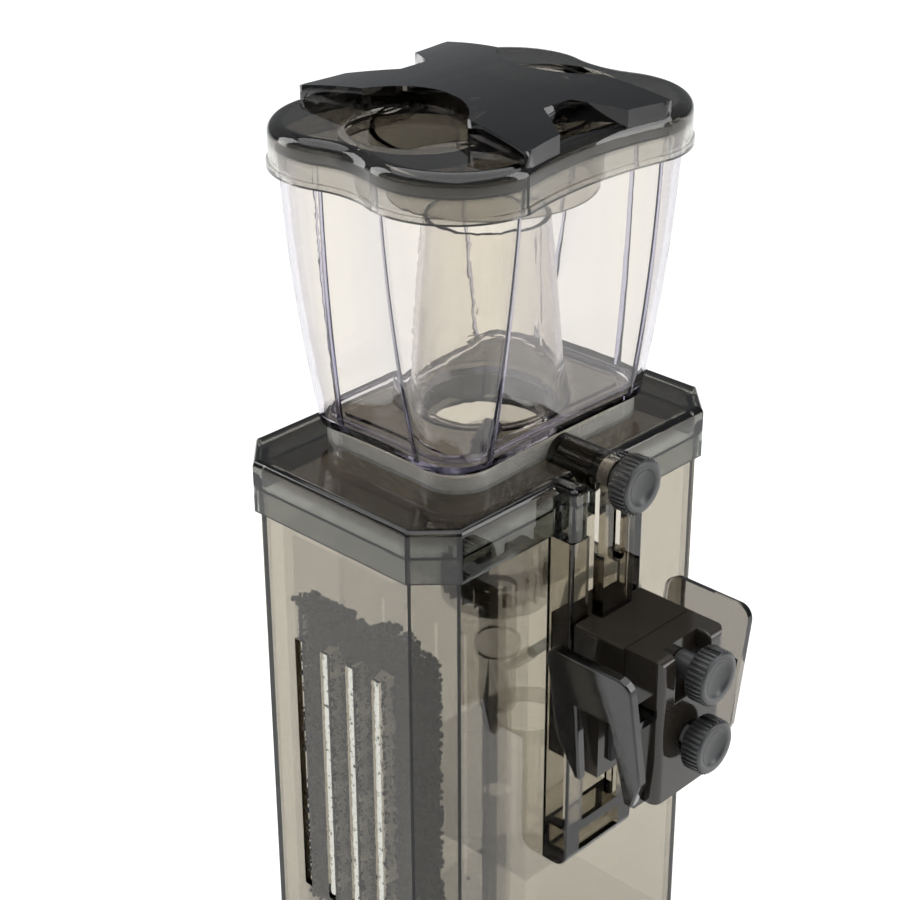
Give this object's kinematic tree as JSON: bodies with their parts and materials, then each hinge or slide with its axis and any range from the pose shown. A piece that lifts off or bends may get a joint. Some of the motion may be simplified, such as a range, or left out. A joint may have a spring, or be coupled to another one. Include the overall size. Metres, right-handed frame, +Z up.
{
  "type": "protein skimmer filter",
  "caption": "Tall smoked aquarium skimmer with a slotted carbon chamber, clear lift-off collection cup, lobed lid and a thumbscrew clamp for the tank's glass.",
  "frame": {"origin": "centre of the tank's underside", "axes": "+Z up through the tank and cup, +X towards the glass clamp, -Y towards the intake slots"},
  "size_m": [0.1163, 0.118, 0.3004],
  "materials": {
    "smoked_plastic": "translucent smoked, moulded, polished",
    "smoked_cover": "deep translucent smoke, polished",
    "clear_plastic": "clear, polished, faint violet edges",
    "bracket_plastic": "dark smoke, high gloss",
    "knob_plastic": "near black, satin",
    "stud_steel": "machined thread",
    "insert_brass": "turned",
    "seal_rubber": "soft, matt",
    "chamber_plastic": "translucent, moulded",
    "air_silicone": "soft, translucent",
    "basket_plastic": "translucent smoked",
    "carbon": "crushed granules",
    "pad_fibre": "needled fibre mat",
    "pump_plastic": "moulded, fine grain",
    "ferrite": "sintered ferrite",
    "ceramic": "ground ceramic"
  },
  "bodies": {
    "tank": {"base_plate": "smoked_plastic", "tank_shell": "smoked_plastic", "hanger_rail": "smoked_plastic", "pump_deck": "smoked_plastic", "partition_wall": "smoked_plastic", "pump_housing": "pump_plastic", "shaft_bush": "ceramic", "impeller_shaft": "ceramic", "pump_cover": "pump_plastic", "outlet_pipe": "chamber_plastic", "venturi_nozzle": "chamber_plastic", "airline_tube": "air_silicone", "bubble_diffuser": "chamber_plastic", "reactor_tray": "chamber_plastic", "reaction_cone": "chamber_plastic", "basket_shelf": "basket_plastic", "media_basket": "basket_plastic", "filter_pad": "pad_fibre", "carbon_media": "carbon"},
    "rotor": {"impeller_magnet": "ferrite", "impeller": "pump_plastic"},
    "cover": {"top_cover": "smoked_cover", "boss_insert": "insert_brass", "cable_gland": "seal_rubber", "cup_collar": "clear_plastic", "foam_seal": "seal_rubber"},
    "cup": {"collection_cup": "clear_plastic", "riser_neck": "clear_plastic", "drain_stub": "clear_plastic"},
    "lid": {"cup_lid": "smoked_cover", "lid_bridge": "smoked_cover", "lid_deflector": "smoked_cover", "lid_seal": "seal_rubber"},
    "hanger": {"hanger_bar": "clear_plastic", "slider_block": "bracket_plastic", "slider_insert": "insert_brass", "glass_pad": "seal_rubber"},
    "jaw": {"outer_jaw": "bracket_plastic", "jaw_insert": "insert_brass", "near_cheek": "bracket_plastic", "far_cheek": "bracket_plastic"},
    "lock_screw": {"lock_knob": "knob_plastic", "lock_stud": "stud_steel"},
    "pad": {"press_pad": "seal_rubber"},
    "clamp_screw": {"clamp_knob": "knob_plastic", "clamp_stud": "stud_steel"},
    "washer": {"height_washer": "stud_steel"},
    "height_screw": {"height_knob": "knob_plastic", "height_stud": "stud_steel"}
  },
  "joints": [
    {"name": "rotor_spin", "type": "hinge", "parent": "tank", "child": "rotor", "pos_m": [0, 0.016, 0.0205], "axis": [0, 0, 1], "continuous": true},
    {"name": "cover_lift", "type": "slide", "parent": "tank", "child": "cover", "axis": [0, 0, 1], "range_m": [0, 0.06]},
    {"name": "cup_lift", "type": "slide", "parent": "cover", "child": "cup", "axis": [0, 0, 1], "range_m": [0, 0.05]},
    {"name": "lid_lift", "type": "slide", "parent": "cup", "child": "lid", "axis": [0, 0, 1], "range_m": [0, 0.04]},
    {"name": "hanger_slide", "type": "slide", "parent": "cover", "child": "hanger", "axis": [0, 0, 1], "range_m": [0, 0.02]},
    {"name": "jaw_slide", "type": "slide", "parent": "hanger", "child": "jaw", "axis": [1, 0, 0], "range_m": [0, 0.004]},
    {"name": "lock_turn", "type": "hinge", "parent": "jaw", "child": "lock_screw", "pos_m": [0.0729, 0, 0.1667], "axis": [1, 0, 0], "range_deg": [-1, 721]},
    {"name": "pad_slide", "type": "slide", "parent": "jaw", "child": "pad", "axis": [-1, 0, 0], "range_m": [-0.0016, 0.002]},
    {"name": "clamp_turn", "type": "hinge", "parent": "pad", "child": "clamp_screw", "pos_m": [0.0729, 0, 0.1466], "axis": [-1, 0, 0], "range_deg": [-289, 361]},
    {"name": "washer_slide", "type": "slide", "parent": "cover", "child": "washer", "axis": [1, 0, 0], "range_m": [0, 0.003]},
    {"name": "height_turn", "type": "hinge", "parent": "washer", "child": "height_screw", "pos_m": [0.0473, 0, 0.21], "axis": [1, 0, 0], "range_deg": [-1, 541]}
  ],
  "couplings": [
    {"joint": "lock_turn", "follows": "jaw_slide", "rad_per_m": 3141.6},
    {"joint": "clamp_turn", "follows": "pad_slide", "rad_per_m": 3141.6},
    {"joint": "height_turn", "follows": "washer_slide", "rad_per_m": 3141.6}
  ]
}
